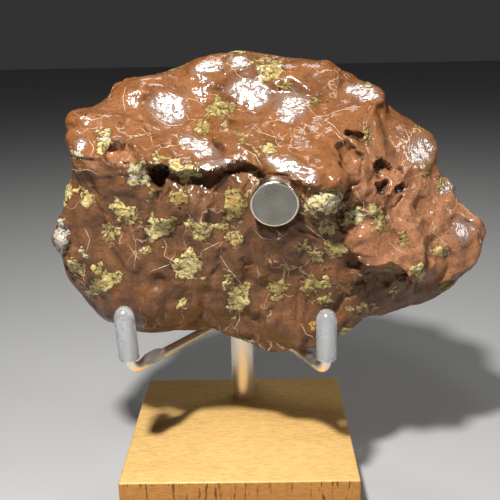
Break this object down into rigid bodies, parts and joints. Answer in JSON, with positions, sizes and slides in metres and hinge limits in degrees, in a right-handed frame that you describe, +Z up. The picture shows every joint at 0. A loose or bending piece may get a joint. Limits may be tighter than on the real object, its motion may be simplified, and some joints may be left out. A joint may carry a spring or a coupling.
{
  "type": "meteorite on display stand",
  "caption": "Glossy red-brown meteorite with pale inclusions and a disc magnet on its face, held by sleeved wire arms on a post and square wood base.",
  "frame": {"origin": "centre of the wooden base's underside", "axes": "+Z up; -Y towards the front, where the magnet is; +X to the right as seen from the front"},
  "size_m": [0.1405, 0.0877, 0.1484],
  "materials": {
    "crust": "glossy",
    "nickel": "polished",
    "wood": "satin",
    "metal": "polished",
    "clear_vinyl": "satin"
  },
  "bodies": {
    "root": {"meteorite": "crust", "magnet": "nickel", "wood_base": "wood", "post": "metal", "left_arm": "metal", "right_arm": "metal", "back_arm": "metal", "left_sleeve": "clear_vinyl", "right_sleeve": "clear_vinyl", "back_sleeve": "clear_vinyl", "left_pad": "clear_vinyl", "right_pad": "clear_vinyl"}
  },
  "joints": []
}
